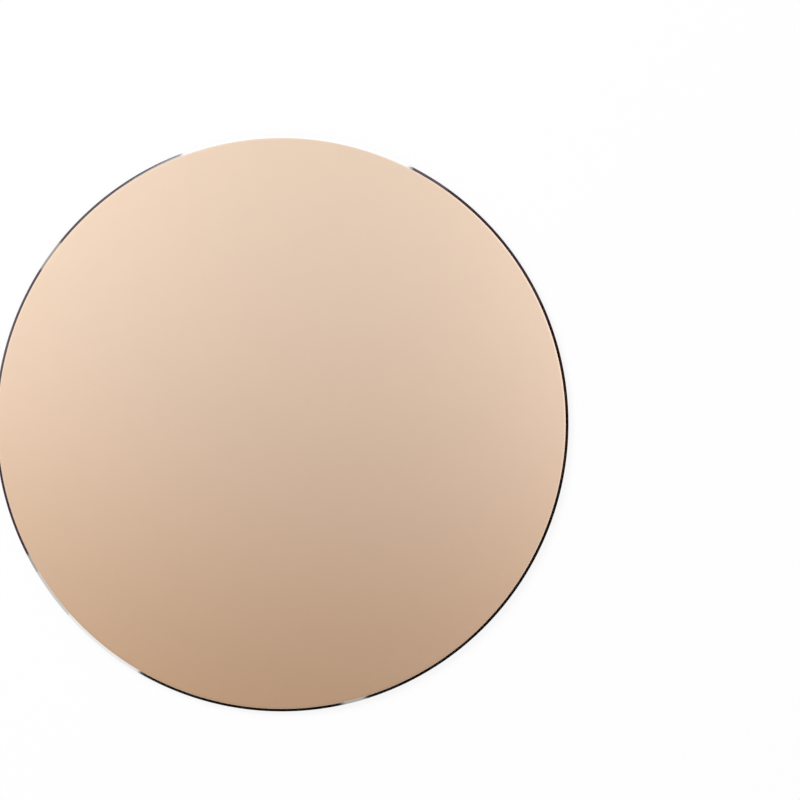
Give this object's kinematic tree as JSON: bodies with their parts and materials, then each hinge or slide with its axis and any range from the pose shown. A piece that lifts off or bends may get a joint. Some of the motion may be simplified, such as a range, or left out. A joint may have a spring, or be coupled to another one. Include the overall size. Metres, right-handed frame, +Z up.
{
  "type": "mouse pad",
  "caption": "Thin round double-sided mouse pad: anodised metal plate with a bevelled bright rim on one side, a bonded grained leather disc on the other.",
  "frame": {"origin": "centre of the leather face that lies on the desk", "axes": "+Z up out of the metal face, along the disc's axis; +X and +Y are any two square directions in the disc's plane"},
  "size_m": [0.22, 0.22, 0.003],
  "materials": {
    "champagne_anodising": "fine bead-blasted, champagne-gold anodised face; bevels and edge diamond-cut to bare bright aluminium after anodising",
    "clear_adhesive": "milky translucent double-sided transfer film",
    "charcoal_cloth": "matt dyed knit base of a coated leather cloth, seen only on the cut edge",
    "black_leather": "fine pebble-grained black leather cloth, low satin sheen"
  },
  "bodies": {
    "root": {"aluminium_plate": "champagne_anodising", "adhesive_film": "clear_adhesive", "leather_base_cloth": "charcoal_cloth", "leather_grain_skin": "black_leather"}
  },
  "joints": []
}
